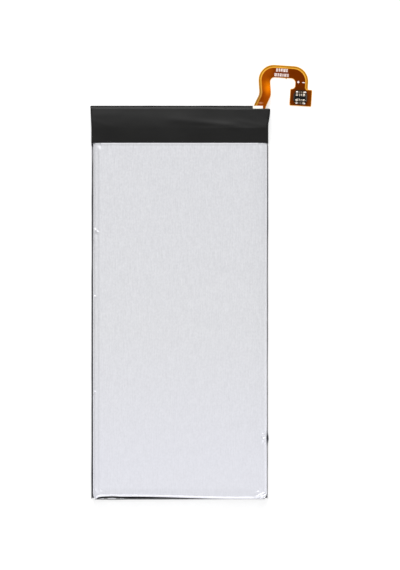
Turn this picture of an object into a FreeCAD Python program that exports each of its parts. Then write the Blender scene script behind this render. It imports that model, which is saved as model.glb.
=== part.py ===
import FreeCAD, Part
import math
import os

# Mobile phone battery: a lithium pouch cell lying on its flat side, with its drawn cup upwards.
# Its head is wrapped in black tape over the protection circuit, and a polyimide flex circuit
# leaves the head and ends in a small board-to-board plug.
# Millimetres. X runs across the cell, Y along it towards the head, Z up.
# The origin is the centre of the drawn cup, on the cell's flat underside.
# The tape presses the cell's underside in by its own thickness, so the head lies level with it.

Vector = FreeCAD.Vector
UP = Vector(0, 0, 1)

# Pouch cell
cup_width = 42.80           # across the drawn cup at its foot
cup_length = 91.00          # along the drawn cup at its foot
cup_height = 4.40           # flat underside to the top of the electrode stack
cup_corner_radius = 1.30    # upright corners of the cup
cup_edge_radius = 0.70      # punch radius round the top face
cup_draft = 0.12            # how far each wall leans in over the cup's height
stack_rise = 0.10           # electrode stack standing proud of the margin round it
stack_side_margin = 1.75    # cup wall to the foot of the stack, at the sides
stack_end_margin = 1.60     # the same at the two ends
stack_shoulder = 0.40       # width of the slope up to the stack's top
laminate_thickness = 0.22   # a sealed double layer of pouch laminate
seam_gap = 0.13             # air between a folded side seam and the cup wall
seam_height = 3.30          # folded side seam, up from the underside
seam_end_setback = 0.30     # seam stops this far short of the bottom fold's face
seam_past_cup = 0.80        # seam carries on this far past the cup at the head
bottom_fold_height = 0.90   # bottom fold, standing clear of the cup's foot as the seams do
bottom_fold_setback = 0.50  # bottom fold's ends, in from the cup's sides
terrace_depth = 3.60        # sealed shelf in front of the cup, which the tabs leave
terrace_thickness = 0.30
terrace_inset = 0.80        # terrace narrower than the cup, each side
terrace_corner = 1.20       # cut-off corners of the terrace
terrace_root_radius = 0.40  # draw radius between the terrace and the cup

# Black head tape
tape_thickness = 0.10
tape_overlap = 3.68         # tape on the cup, back from the cup's head wall
head_depth = 4.66           # cup's head wall to the inside of the tape's end wall
head_drop = 0.50            # how much lower the tape's top is at the end wall
head_flare = 0.20           # how much wider the tape is at the end wall, each side
tape_corner_radius = 0.30   # inside the tape's long folds
tape_end_radius = 0.22      # inside the folds round the end wall
fin_depth = 0.80            # two layers of tape pinched together past the end wall
fin_height = 1.50           # underside of the fin
fin_outer_radius = 0.30

# Cell tabs and what lies on the terrace
tab_width = 4.00
tab_thickness = 0.12
positive_tab_x = -10.00
negative_tab_x = 6.00
tab_film_side = 1.00        # sealing film showing past each edge of a tab
tab_film_reach = 0.35       # sealing film showing past the terrace
tab_return_length = 2.70    # folded-back leg that is welded
insulator_thickness = 0.06
insulator_width = 38.00
insulator_margin = 0.20     # insulator to the draw radius and to the terrace's edge
insulator_corner_radius = 0.30

# Protection circuit
board_length = 39.50
board_width = 3.30
board_thickness = 0.60
board_side_gap = 0.40       # cup's side to the end of the board under the flex circuit
board_cup_gap = 0.60        # board to the cup's head wall
board_corner_radius = 0.40
weld_plate_length = 3.60
weld_plate_width = 2.40
weld_plate_thickness = 0.20
cutoff_length = 3.00        # thermal cut-off in the positive line
cutoff_width = 2.30
cutoff_thickness = 0.42
cutoff_x = -5.60
cutoff_gap = 0.04           # cut-off to the insulator under it
lead_thickness = 0.10
lead_width = 1.80
lead_edge_gap = 0.30        # lead's end to the edge of what it is welded to
switch_size = (3.20, 2.00, 0.60)        # pair of protection transistors in one package
switch_x = -13.00
controller_size = (1.60, 1.60, 0.50)    # protection controller
controller_x = -9.20
package_standoff = 0.05     # solder under a package
package_pad_inset = 0.20
package_chamfer = 0.12
thermistor_size = (1.60, 0.80, 0.60)
thermistor_x = 12.60
resistor_size = (1.00, 0.50, 0.34)
resistor_x = (-6.60, -4.90, 8.40)
capacitor_size = (1.00, 0.55, 0.52)
capacitor_x = (-2.60, -0.60, 3.00)
chip_cap_length = 0.24      # metal end cap of a chip part
chip_cap_proud = 0.025
foam_gap = 0.06             # foam to the tape above it and to the parts under it
foam_length = 33.00
foam_end_gap = 0.50         # foam to the cup wall and to the tape's end wall

# Flex circuit, seen from above: a lead, a leg, a bar and a drop that ends in the plug's pad
flex_root_side = 2.77       # cup's side to the middle of the flex's soldered end
flex_root_inset = 1.50      # soldered end, back from the board's outer edge
flex_headings = (67.0, 93.6, -3.7, -93.7)   # degrees from +X
flex_lengths = (6.27, 6.14, 9.53, 6.12)
flex_widths = (2.84, 2.86, 3.09, 3.17)
flex_elbow_radius = 3.00
flex_outer_radius = 3.75
flex_inner_radius = 1.05
neck_left_radius = 0.80
neck_right_radius = 0.25
pad_length = 5.42           # across the flex circuit's end
pad_width = 4.15
pad_corner_radius = 0.25
stub_radius = 0.20          # stub left on the bar's inner edge when the film was cut out
stub_along = 5.65           # along the bar, from its start
film_thickness = 0.10
copper_thickness = 0.04
copper_outer_inset = 0.52   # bare film outside the copper, on the outside of the arch
copper_inner_inset = 0.12
copper_pad_inset = 0.15
copper_root_inset = 0.10
flex_bend_start = 0.90      # level stretch past the tape's end wall
flex_bend_length = 6.20     # length over which the flex comes down
root_strip_length = 2.85    # white strip over the flex where it leaves the head
root_strip_reach = 0.74     # strip showing past the tape's end wall
root_strip_inside = 1.00    # strip under the tape
root_strip_thickness = 0.10
slot_clearance = 0.06       # slot in the tape round what goes through it

# Board-to-board plug
stiffener_thickness = 0.18
stiffener_inset = 0.05
plug_shift = 0.14           # plug's middle from the pad's, on the side towards the cell
plug_length = 3.36
plug_width = 1.80
plug_height = 0.72
plug_floor = 0.16
plug_wall = 0.50
plug_end_wall = 0.50
plug_corner_radius = 0.18
contact_thickness = 0.09
contact_inner_reach = 0.34  # how far a contact comes down inside the recess
contact_tail = 0.66
power_contact_width = 0.50
power_contact_offset = 0.86
signal_contact_width = 0.20
signal_contact_offset = 0.22

# Worked out from the values above
pack_half_width = cup_width / 2 + seam_gap + laminate_thickness
fold_face_y = -cup_length / 2 - seam_gap - laminate_thickness
cup_head_y = cup_length / 2
cup_foot_y = -cup_length / 2
terrace_end_y = cup_head_y + terrace_depth
end_wall_y = cup_head_y + head_depth
terrace_low = tape_thickness
terrace_top = terrace_low + terrace_thickness
tab_level = (terrace_low + terrace_top) / 2
board_right_x = cup_width / 2 - board_side_gap
board_left_x = board_right_x - board_length
board_low_y = cup_head_y + board_cup_gap
board_high_y = board_low_y + board_width
board_mid_y = (board_low_y + board_high_y) / 2
insulator_top = terrace_top + insulator_thickness
cutoff_low = insulator_top + cutoff_gap
cutoff_lead_low = cutoff_low + cutoff_thickness
plate_low = cutoff_lead_low + lead_thickness
board_low = plate_low + weld_plate_thickness
board_top = board_low + board_thickness
tallest_part = max(switch_size[2], controller_size[2]) + package_standoff
tallest_part = max(tallest_part, thermistor_size[2] + 2 * chip_cap_proud)
flex_low = stiffener_thickness
flex_drop = board_top - flex_low
flex_top_low = flex_low + film_thickness + copper_thickness


def heading(degrees):
    """Unit direction in plan."""
    return Vector(math.cos(math.radians(degrees)), math.sin(math.radians(degrees)), 0)


def left_of(direction):
    """Direction a quarter turn to the left in plan."""
    return Vector(-direction.y, direction.x, 0)


def crossing(point_a, direction_a, point_b, direction_b):
    """Where two lines in plan meet."""
    turn = direction_a.x * direction_b.y - direction_a.y * direction_b.x
    gap = point_b - point_a
    along = (gap.x * direction_b.y - gap.y * direction_b.x) / turn
    return point_a + direction_a * along


def rounded_wire(corners):
    """Closed wire through flat corners, each (point, radius), with a tangent arc at each radius."""
    count = len(corners)
    starts = []
    ends = []
    middles = []
    for index, (point, radius) in enumerate(corners):
        before = (corners[index - 1][0] - point).normalize()
        after = (corners[(index + 1) % count][0] - point).normalize()
        half_angle = math.acos(max(-1.0, min(1.0, before.dot(after)))) / 2
        if radius <= 0 or half_angle > math.radians(89.9):
            starts.append(point)
            ends.append(point)
            middles.append(None)
            continue
        reach = radius / math.tan(half_angle)
        inward = (before + after).normalize()
        depth = radius / math.sin(half_angle) - radius
        starts.append(point + before * reach)
        ends.append(point + after * reach)
        middles.append(point + inward * depth)
    edges = []
    for index in range(count):
        if middles[index] is not None:
            edges.append(Part.Arc(starts[index], middles[index], ends[index]).toShape())
        following = starts[(index + 1) % count]
        if (following - ends[index]).Length > 1e-7:
            edges.append(Part.LineSegment(ends[index], following).toShape())
    return Part.Wire(edges)


def plan_rectangle(x_low, x_high, y_low, y_high, z, radius):
    """Rounded rectangle in plan at height z."""
    points = [(x_low, y_low), (x_high, y_low), (x_high, y_high), (x_low, y_high)]
    return rounded_wire([(Vector(x, y, z), radius) for x, y in points])


def slab(wire, thickness):
    """Flat outline given a thickness upwards."""
    return Part.Face(wire).extrude(UP * thickness)


def block(x_low, x_high, y_low, y_high, z_low, z_high, radius=0.0):
    """Upright block with rounded upright edges."""
    return slab(plan_rectangle(x_low, x_high, y_low, y_high, z_low, radius), z_high - z_low)


def side_profile(points, x_low, x_high):
    """Solid whose outline is drawn from the side: corners (y, z, radius), drawn out along X."""
    wire = rounded_wire([(Vector(x_low, y, z), radius) for y, z, radius in points])
    return Part.Face(wire).extrude(Vector(x_high - x_low, 0, 0))


def end_profile(points, y_low, y_high):
    """Solid whose outline is drawn from the end: corners (x, z, radius), drawn out along Y."""
    wire = rounded_wire([(Vector(x, y_low, z), radius) for x, z, radius in points])
    return Part.Face(wire).extrude(Vector(0, y_high - y_low, 0))


def edges_at_height(solid, z):
    """Edges that lie flat at height z."""
    return [e for e in solid.Edges if abs(e.BoundBox.ZMin - z) < 1e-4 and e.BoundBox.ZLength < 1e-4]


def joined(first, *others):
    """One solid from pieces that are one thing."""
    return first.multiFuse(list(others)).removeSplitter()


# Pouch cell

def drawn_cup():
    """Cup pressed into the laminate: leaning walls, a punch radius and the stack showing through."""
    margin_top = cup_height - stack_rise
    foot = plan_rectangle(-cup_width / 2, cup_width / 2, cup_foot_y, cup_head_y, 0, cup_corner_radius)
    rim = plan_rectangle(
        -cup_width / 2 + cup_draft, cup_width / 2 - cup_draft,
        cup_foot_y + cup_draft, cup_head_y - cup_draft, margin_top, cup_corner_radius - cup_draft,
    )
    cup = Part.makeLoft([foot, rim], True, True)
    cup = cup.makeFillet(cup_edge_radius, edges_at_height(cup, margin_top))
    half_width = cup_width / 2 - stack_side_margin
    half_length = cup_length / 2 - stack_end_margin
    stack_foot = plan_rectangle(
        -half_width, half_width, -half_length, half_length, margin_top - stack_rise, stack_shoulder * 2,
    )
    stack_top = plan_rectangle(
        -half_width + stack_shoulder, half_width - stack_shoulder,
        -half_length + stack_shoulder, half_length - stack_shoulder, cup_height, stack_shoulder,
    )
    return cup.fuse(Part.makeLoft([stack_foot, stack_top], True, True))


def side_seam(side):
    """Sealed side of the pouch, folded up along the cup: a thin wall with a hemmed top."""
    wall = cup_width / 2
    outer = pack_half_width
    inner = outer - laminate_thickness
    hem = laminate_thickness / 2 - 1e-3
    profile = [
        (side * (wall - 1.0), 0, 0),
        (side * outer, 0, seam_gap + laminate_thickness),
        (side * outer, seam_height, hem),
        (side * inner, seam_height, hem),
        (side * inner, laminate_thickness, seam_gap),
        (side * (wall - 1.0), laminate_thickness, 0),
    ]
    return end_profile(profile, fold_face_y + seam_end_setback, cup_head_y + seam_past_cup)


def bottom_fold():
    """Fold of the laminate at the foot of the cell, standing up beside the cup's foot wall."""
    hem = laminate_thickness / 2 - 1e-3
    inner = fold_face_y + laminate_thickness
    profile = [
        (cup_foot_y + 1.0, 0, 0),
        (fold_face_y, 0, seam_gap + laminate_thickness),
        (fold_face_y, bottom_fold_height, hem),
        (inner, bottom_fold_height, hem),
        (inner, laminate_thickness, seam_gap),
        (cup_foot_y + 1.0, laminate_thickness, 0),
    ]
    half_width = cup_width / 2 - bottom_fold_setback
    return side_profile(profile, -half_width, half_width)


def terrace():
    """Sealed shelf at the head, with its two outer corners cut off."""
    half = cup_width / 2 - terrace_inset
    points = [
        (-half, cup_head_y - 1.0), (half, cup_head_y - 1.0),
        (half, terrace_end_y - terrace_corner), (half - terrace_corner, terrace_end_y),
        (-half + terrace_corner, terrace_end_y), (-half, terrace_end_y - terrace_corner),
    ]
    shelf = slab(rounded_wire([(Vector(x, y, terrace_low), 0) for x, y in points]), terrace_thickness)
    radius = terrace_root_radius
    inside_y = cup_head_y - cup_draft - radius
    root_half = cup_width / 2 - cup_corner_radius

    def at(y, z):
        return Vector(-root_half, y, z)

    swing = radius * (1 - math.sqrt(0.5))
    corner = Part.Wire([
        Part.LineSegment(at(inside_y, terrace_low), at(cup_head_y + radius, terrace_low)).toShape(),
        Part.LineSegment(
            at(cup_head_y + radius, terrace_low), at(cup_head_y + radius, terrace_top)).toShape(),
        Part.Arc(
            at(cup_head_y + radius, terrace_top), at(cup_head_y + swing, terrace_top + swing),
            at(cup_head_y, terrace_top + radius)).toShape(),
        Part.LineSegment(
            at(cup_head_y, terrace_top + radius), at(inside_y, terrace_top + radius)).toShape(),
        Part.LineSegment(at(inside_y, terrace_top + radius), at(inside_y, terrace_low)).toShape(),
    ])
    root = Part.Face(corner).extrude(Vector(2 * root_half, 0, 0))
    return shelf.fuse(root)


def pouch_cell():
    """Whole sealed cell, pressed in under the tape so that it fills the tape's inside."""
    cell = joined(drawn_cup(), side_seam(-1), side_seam(1), bottom_fold(), terrace())
    mouth_y = cup_head_y - tape_overlap
    around_head = block(
        -pack_half_width - 1, pack_half_width + 1, mouth_y, end_wall_y, -1, cup_height + 1,
    )
    inside = tape_section(mouth_y, pack_half_width, tape_thickness, cup_height, tape_corner_radius)
    channel = Part.Face(inside).extrude(Vector(0, end_wall_y - mouth_y, 0))
    return cell.cut(around_head.cut(channel)).removeSplitter()


# Black tape round the head

def tape_section(y, half_width, z_low, z_high, radius):
    """Rounded section across the tape, in the plane at y."""
    points = [(-half_width, z_low), (half_width, z_low), (half_width, z_high), (-half_width, z_high)]
    return rounded_wire([(Vector(x, y, z), radius) for x, z in points])


def tape_body(growth):
    """Space inside the tape, or with growth the tape's outside, from its open edge to the end wall."""
    half = pack_half_width + growth
    radius = tape_corner_radius + growth
    low = tape_thickness - growth
    high = cup_height + growth
    sections = [
        tape_section(cup_head_y - tape_overlap, half, low, high, radius),
        tape_section(cup_head_y, half, low, high, radius),
        tape_section(end_wall_y + growth, half + head_flare, low, high - head_drop, radius),
    ]
    body = Part.makeLoft(sections, True, True)
    end_edges = [
        e for e in body.Edges
        if abs(e.BoundBox.YMin - end_wall_y - growth) < 1e-4 and e.BoundBox.YLength < 1e-4
    ]
    return body.makeFillet(tape_end_radius + growth, end_edges)


def flex_slot_x():
    """Where the slot for the flex circuit starts and ends along the head."""
    exit_left, exit_right = flex_edges_at(end_wall_y)
    left = min(root_strip_left(), exit_left) - slot_clearance
    return left, exit_right + 2 * slot_clearance


def head_tape():
    """Tape folded over the head, pinched into a fin along its end and slit for the flex circuit."""
    outside = tape_body(tape_thickness)
    inside = tape_body(0.0)
    mouth = block(
        -pack_half_width - 1, pack_half_width + 1,
        cup_head_y - tape_overlap - 1, cup_head_y - tape_overlap, -1, cup_height + 1,
    )
    slot_left, slot_right = flex_slot_x()
    slot_top = board_top + film_thickness + copper_thickness + root_strip_thickness + slot_clearance
    fin_left = -pack_half_width - head_flare - tape_thickness
    fin_corner = [
        (fin_left, end_wall_y, 0), (slot_left, end_wall_y, 0),
        (slot_left, end_wall_y + tape_thickness + fin_depth, 0),
        (fin_left, end_wall_y + tape_thickness + fin_depth, fin_outer_radius),
    ]
    fin = slab(
        rounded_wire([(Vector(x, y, fin_height), radius) for x, y, radius in fin_corner]),
        2 * tape_thickness,
    )
    slot = block(
        slot_left, slot_right, end_wall_y - 1, end_wall_y + 1, board_top - slot_clearance, slot_top,
    )
    return joined(outside, fin).cut(inside).cut(mouth).cut(slot)


# Cell tabs

def cell_tab(x, return_level):
    """Metal strip leaving the terrace, folded up and back so that its top leg lies at return_level."""
    half = tab_thickness / 2
    bend_y = terrace_end_y + tab_film_reach
    radius = (return_level - tab_level) / 2
    back_y = bend_y - tab_return_length
    middle = tab_level + radius
    x_low = x - tab_width / 2

    def at(y, z):
        return Vector(x_low, y, z)

    edges = [
        Part.LineSegment(at(terrace_end_y, tab_level - half), at(bend_y, tab_level - half)).toShape(),
        Part.Arc(
            at(bend_y, tab_level - half), at(bend_y + radius + half, middle),
            at(bend_y, return_level + half)).toShape(),
        Part.LineSegment(at(bend_y, return_level + half), at(back_y, return_level + half)).toShape(),
        Part.LineSegment(at(back_y, return_level + half), at(back_y, return_level - half)).toShape(),
        Part.LineSegment(at(back_y, return_level - half), at(bend_y, return_level - half)).toShape(),
        Part.Arc(
            at(bend_y, return_level - half), at(bend_y + radius - half, middle),
            at(bend_y, tab_level + half)).toShape(),
        Part.LineSegment(at(bend_y, tab_level + half), at(terrace_end_y, tab_level + half)).toShape(),
        Part.LineSegment(at(terrace_end_y, tab_level + half), at(terrace_end_y, tab_level - half)).toShape(),
    ]
    return Part.Face(Part.Wire(edges)).extrude(Vector(tab_width, 0, 0))


def tab_film(x, tab):
    """Sealing film that shows past the terrace on both sides of a tab."""
    half = tab_width / 2 + tab_film_side
    film = block(
        x - half, x + half, terrace_end_y, terrace_end_y + tab_film_reach, terrace_low, terrace_top,
    )
    return film.cut(tab)


def terrace_insulator():
    return block(
        -insulator_width / 2, insulator_width / 2,
        cup_head_y + terrace_root_radius + insulator_margin, terrace_end_y - insulator_margin,
        terrace_top, insulator_top, insulator_corner_radius,
    )


# Protection circuit

def protection_board():
    return block(
        board_left_x, board_right_x, board_low_y, board_high_y,
        board_low, board_top, board_corner_radius,
    )


def weld_plate(x):
    return block(
        x - weld_plate_length / 2, x + weld_plate_length / 2,
        board_mid_y - weld_plate_width / 2, board_mid_y + weld_plate_width / 2,
        plate_low, board_low, 0.15,
    )


def thermal_cutoff():
    """Flat cut-off body, tapered along its long edges, with a welded lead at each end."""
    low = cutoff_low
    top = cutoff_lead_low + lead_thickness / 2
    half = cutoff_width / 2
    body = side_profile(
        [
            (board_mid_y - half, low, 0.08), (board_mid_y + half, low, 0.08),
            (board_mid_y + half - 0.1, top, 0.08), (board_mid_y - half + 0.1, top, 0.08),
        ],
        cutoff_x - cutoff_length / 2, cutoff_x + cutoff_length / 2,
    )
    lead = block(
        positive_tab_x - tab_width / 2 + lead_edge_gap,
        positive_plate_x() + weld_plate_length / 2 - lead_edge_gap,
        board_mid_y - lead_width / 2, board_mid_y + lead_width / 2,
        cutoff_lead_low, cutoff_lead_low + lead_thickness,
    )
    return joined(body, lead)


def positive_plate_x():
    """Plate for the cut-off's second lead, beside the cut-off's body."""
    return cutoff_x + cutoff_length / 2 + weld_plate_length / 2 + lead_edge_gap


def package(x, size):
    """Moulded package on two rows of solder, with chamfered top edges."""
    length, width, height = size
    y_low = board_mid_y - width / 2
    low = board_top + package_standoff
    body = block(x - length / 2, x + length / 2, y_low, y_low + width, low, low + height)
    body = body.makeChamfer(package_chamfer, edges_at_height(body, low + height))
    feet = [
        block(
            x - length / 2 + package_pad_inset, x + length / 2 - package_pad_inset,
            edge, edge + width / 4, board_top, low,
        )
        for edge in (y_low, y_low + width * 3 / 4)
    ]
    return joined(body, *feet)


def chip(x, size):
    """Two-ended chip part: a ceramic body between two metal caps."""
    length, width, height = size
    low = board_top + chip_cap_proud
    body = block(
        x - length / 2 + chip_cap_proud, x + length / 2 - chip_cap_proud,
        board_mid_y - width / 2, board_mid_y + width / 2, low, low + height,
    )
    half = width / 2 + chip_cap_proud
    caps = [
        block(end, end + chip_cap_length, board_mid_y - half, board_mid_y + half,
              board_top, low + height + chip_cap_proud)
        for end in (x - length / 2, x + length / 2 - chip_cap_length)
    ]
    return joined(body, *caps)


def head_foam():
    """Foam over the parts of the board, cut to the slope of the tape above it."""
    y_low = cup_head_y + foam_end_gap
    y_high = end_wall_y - foam_end_gap
    low = board_top + tallest_part + foam_gap

    def under_tape(y):
        return cup_height - head_drop * (y - cup_head_y) / head_depth - foam_gap

    profile = [
        (y_low, low, 0.1), (y_high, low, 0.1),
        (y_high, under_tape(y_high), 0.2), (y_low, under_tape(y_low), 0.2),
    ]
    return side_profile(profile, board_left_x, board_left_x + foam_length)


# Flex circuit

def flex_route():
    """Middle line of the flex in plan: its points, from the soldered end to the plug."""
    points = [Vector(cup_width / 2 - flex_root_side, board_high_y - flex_root_inset, 0)]
    for degrees, length in zip(flex_headings, flex_lengths):
        points.append(points[-1] + heading(degrees) * length)
    return points


def flex_side(side, inset):
    """Lines along one side of the flex: a point and a direction for each stretch."""
    route = flex_route()
    lines = []
    for index, degrees in enumerate(flex_headings):
        direction = heading(degrees)
        offset = left_of(direction) * side * (flex_widths[index] / 2 - inset)
        lines.append((route[index] + offset, direction))
    return lines


def flex_edges_at(y):
    """Left and right edge of the flex's first stretch where it crosses y."""
    across = Vector(1, 0, 0)
    found = [crossing(*flex_side(side, 0)[0], Vector(0, y, 0), across).x for side in (1, -1)]
    return min(found), max(found)


def flex_outline(outer_inset, inner_inset, pad_inset, root_inset):
    """Outline of a layer of the flex in plan, set in from the film's edge by the insets."""
    outer = flex_side(1, outer_inset)
    inner = flex_side(-1, inner_inset)
    down = heading(flex_headings[-1])
    across = left_of(down)
    pad = flex_route()[-1]
    half_length = pad_length / 2 - pad_inset
    half_width = pad_width / 2 - pad_inset
    top_edge = pad - down * half_width
    pad_radius = pad_corner_radius
    root_start = outer[0][1] * root_inset
    outer_turns = [crossing(*outer[i], *outer[i + 1]) for i in range(3)]
    inner_turns = [crossing(*inner[i], *inner[i + 1]) for i in range(3)]
    return [
        (outer[0][0] + root_start, 0),
        (outer_turns[0], flex_elbow_radius),
        (outer_turns[1], flex_outer_radius - outer_inset),
        (outer_turns[2], flex_outer_radius - outer_inset),
        (crossing(*outer[3], top_edge, across), neck_right_radius),
        (top_edge + across * half_length, pad_radius),
        (pad + down * half_width + across * half_length, pad_radius),
        (pad + down * half_width - across * half_length, pad_radius),
        (top_edge - across * half_length, pad_radius),
        (crossing(*inner[3], top_edge, across), neck_left_radius + inner_inset),
        (inner_turns[2], flex_inner_radius + inner_inset),
        (inner_turns[1], flex_inner_radius + inner_inset),
        (inner_turns[0], flex_elbow_radius),
        (inner[0][0] + root_start, 0),
    ]


def flex_layer(outline, above, thickness):
    """Layer of the flex: its outline, bent down from the board to the level of the plug.
    above is the layer's height over the film's underside."""
    route = flex_route()
    start_y = end_wall_y + flex_bend_start
    end_y = start_y + flex_bend_length
    radius = (flex_bend_length ** 2 + flex_drop ** 2) / (4 * flex_drop)
    angle = math.asin(flex_bend_length / 2 / radius)
    near_y = board_low_y - 1
    far_y = end_y + flex_lengths[1] + flex_outer_radius
    left_x = route[0].x - 10
    split_x = (route[2].x + route[3].x) / 2

    def surface(depth):
        """Points of the bent surface at that height over the film's underside."""
        first = Vector(left_x, start_y, board_top - radius)
        second = Vector(left_x, end_y, flex_low + radius)

        def on(centre, reach, turn):
            return centre + Vector(0, math.sin(turn), math.cos(turn)) * reach

        return [
            Vector(left_x, near_y, board_top + depth), on(first, radius + depth, 0),
            on(first, radius + depth, angle / 2), on(first, radius + depth, angle),
            on(second, depth - radius, angle / 2), on(second, depth - radius, 0),
            Vector(left_x, far_y, flex_low + depth),
        ]

    low = surface(above)
    high = surface(above + thickness)
    edges = [
        Part.LineSegment(low[0], low[1]).toShape(),
        Part.Arc(low[1], low[2], low[3]).toShape(),
        Part.Arc(low[3], low[4], low[5]).toShape(),
        Part.LineSegment(low[5], low[6]).toShape(),
        Part.LineSegment(low[6], high[6]).toShape(),
        Part.LineSegment(high[6], high[5]).toShape(),
        Part.Arc(high[5], high[4], high[3]).toShape(),
        Part.Arc(high[3], high[2], high[1]).toShape(),
        Part.LineSegment(high[1], high[0]).toShape(),
        Part.LineSegment(high[0], low[0]).toShape(),
    ]
    bent = Part.Face(Part.Wire(edges)).extrude(Vector(split_x - left_x, 0, 0))
    level = block(
        split_x, route[-1].x + pad_length, near_y, far_y,
        flex_low + above, flex_low + above + thickness,
    )
    column = slab(rounded_wire(outline), board_top + 2)
    column.translate(Vector(0, 0, -1))
    return bent.fuse(level).common(column).removeSplitter()


def flex_film():
    """Film of the flex, with the stub of the bridge that held it in its sheet."""
    film = flex_layer(flex_outline(0, 0, 0, 0), 0, film_thickness)
    along = heading(flex_headings[2])
    edge = flex_route()[2] + along * stub_along - left_of(along) * (flex_widths[2] / 2)
    stub = Part.makeCylinder(stub_radius, film_thickness, Vector(edge.x, edge.y, flex_low), UP)
    return film.fuse(stub).removeSplitter()


def root_strip_left():
    """Left end of the white strip: its right end is level with the flex's right edge."""
    exit_left, exit_right = flex_edges_at(end_wall_y)
    return exit_right - root_strip_length - 4 * slot_clearance


def root_strip():
    """White strip stuck over the flex where it leaves the head."""
    left = root_strip_left()
    low = board_top + film_thickness + copper_thickness
    return block(
        left, left + root_strip_length,
        end_wall_y - root_strip_inside, end_wall_y + tape_thickness + root_strip_reach,
        low, low + root_strip_thickness, 0.08,
    )


# Plug at the end of the flex circuit

def on_pad(shape, z, shift=0.0):
    """Moves a shape drawn round the origin to the flex's pad, at height z."""
    down = heading(flex_headings[-1])
    turn = math.degrees(math.atan2(down.y, down.x)) + 90
    pad = flex_route()[-1]
    shape.translate(Vector(-shift, 0, 0))
    shape.rotate(Vector(0, 0, 0), UP, turn)
    shape.translate(Vector(pad.x, pad.y, z))
    return shape


def stiffener():
    half_length = pad_length / 2 - stiffener_inset
    half_width = pad_width / 2 - stiffener_inset
    plate = block(
        -half_length, half_length, -half_width, half_width, 0, stiffener_thickness, pad_corner_radius,
    )
    return on_pad(plate, flex_low - stiffener_thickness)


def plug_housing():
    """Moulded plug: a long recess between two walls that the contacts fold over."""
    half_length = plug_length / 2
    half_width = plug_width / 2
    body = block(
        -half_length, half_length, -half_width, half_width, 0, plug_height, plug_corner_radius,
    )
    body = body.makeChamfer(0.06, edges_at_height(body, plug_height))
    recess = block(
        -half_length + plug_end_wall, half_length - plug_end_wall,
        -half_width + plug_wall, half_width - plug_wall, plug_floor, plug_height + 1, 0.05,
    )
    body = body.cut(recess)
    for position, width in contact_places():
        for row in (-1, 1):
            body = body.cut(contact_space(position, width, row))
    return on_pad(body, flex_top_low, plug_shift)


def contact_places():
    """Where each contact of one row stands along the plug, and its width."""
    return [
        (-power_contact_offset, power_contact_width),
        (-signal_contact_offset, signal_contact_width),
        (signal_contact_offset, signal_contact_width),
        (power_contact_offset, power_contact_width),
    ]


def contact_space(position, width, row):
    """Seat of one contact in the housing: the wall is cut back by the contact's thickness."""
    half_width = plug_width / 2
    top = plug_height
    inner = half_width - plug_wall
    outer_seat = block(
        position - width / 2, position + width / 2,
        half_width - contact_thickness, half_width + 1, -1, top + 1,
    )
    top_seat = block(
        position - width / 2, position + width / 2, inner - 1, half_width + 1,
        top - contact_thickness, top + 1,
    )
    inner_seat = block(
        position - width / 2, position + width / 2, inner - 1, inner + contact_thickness,
        top - contact_inner_reach, top + 1,
    )
    space = outer_seat.fuse([top_seat, inner_seat])
    if row < 0:
        space.rotate(Vector(0, 0, 0), UP, 180)
        space = space.copy()
    return space


def contact(position, width, row):
    """Strip folded over the plug's wall, with a solder tail outside."""
    half_width = plug_width / 2
    thickness = contact_thickness
    inner = half_width - plug_wall
    top = plug_height
    profile = [
        (half_width + contact_tail, 0, 0),
        (half_width + contact_tail, thickness, 0),
        (half_width, thickness, 0.05),
        (half_width, top, thickness),
        (inner, top, thickness),
        (inner, top - contact_inner_reach, 0),
        (inner + thickness, top - contact_inner_reach, 0),
        (inner + thickness, top - thickness, 0),
        (half_width - thickness, top - thickness, 0),
        (half_width - thickness, 0, 0),
    ]
    strip = side_profile(profile, position * row - width / 2, position * row + width / 2)
    if row < 0:
        strip.rotate(Vector(0, 0, 0), UP, 180)
    return on_pad(strip, flex_top_low, plug_shift)


def build():
    """Every piece of the battery under its own name."""
    positive_return = cutoff_lead_low - tab_thickness / 2
    negative_return = plate_low - tab_thickness / 2
    positive_tab = cell_tab(positive_tab_x, positive_return)
    negative_tab = cell_tab(negative_tab_x, negative_return)
    pieces = {
        "pouch_cell": pouch_cell(),
        "head_tape": head_tape(),
        "positive_tab": positive_tab,
        "negative_tab": negative_tab,
        "positive_tab_film": tab_film(positive_tab_x, positive_tab),
        "negative_tab_film": tab_film(negative_tab_x, negative_tab),
        "terrace_insulator": terrace_insulator(),
        "protection_board": protection_board(),
        "positive_weld_plate": weld_plate(positive_plate_x()),
        "negative_weld_plate": weld_plate(negative_tab_x),
        "thermal_cutoff": thermal_cutoff(),
        "switch_transistors": package(switch_x, switch_size),
        "protection_controller": package(controller_x, controller_size),
        "thermistor": chip(thermistor_x, thermistor_size),
        "head_foam": head_foam(),
        "flex_film": flex_film(),
        "flex_copper": flex_layer(
            flex_outline(copper_outer_inset, copper_inner_inset, copper_pad_inset, copper_root_inset),
            film_thickness, copper_thickness,
        ),
        "flex_root_strip": root_strip(),
        "plug_stiffener": stiffener(),
        "plug_housing": plug_housing(),
    }
    for number, x in enumerate(resistor_x, 1):
        pieces[f"resistor_{number}"] = chip(x, resistor_size)
    for number, x in enumerate(capacitor_x, 1):
        pieces[f"capacitor_{number}"] = chip(x, capacitor_size)
    counts = {"power": 0, "signal": 0}
    for row in (1, -1):
        for position, width in contact_places():
            kind = "power" if width == power_contact_width else "signal"
            counts[kind] += 1
            pieces[f"{kind}_contact_{counts[kind]}"] = contact(position, width, row)
    return pieces


os.makedirs("parts", exist_ok=True)
for name, shape in build().items():
    shape.exportStep(os.path.join("parts", name + ".step"))
    box = shape.BoundBox
    print(
        f"{name}: {len(shape.Solids)} solid, valid {shape.isValid()}, {shape.Volume:.3f} mm3,"
        f" x {box.XMin:.2f} to {box.XMax:.2f}, y {box.YMin:.2f} to {box.YMax:.2f},"
        f" z {box.ZMin:.2f} to {box.ZMax:.2f}"
    )
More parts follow.
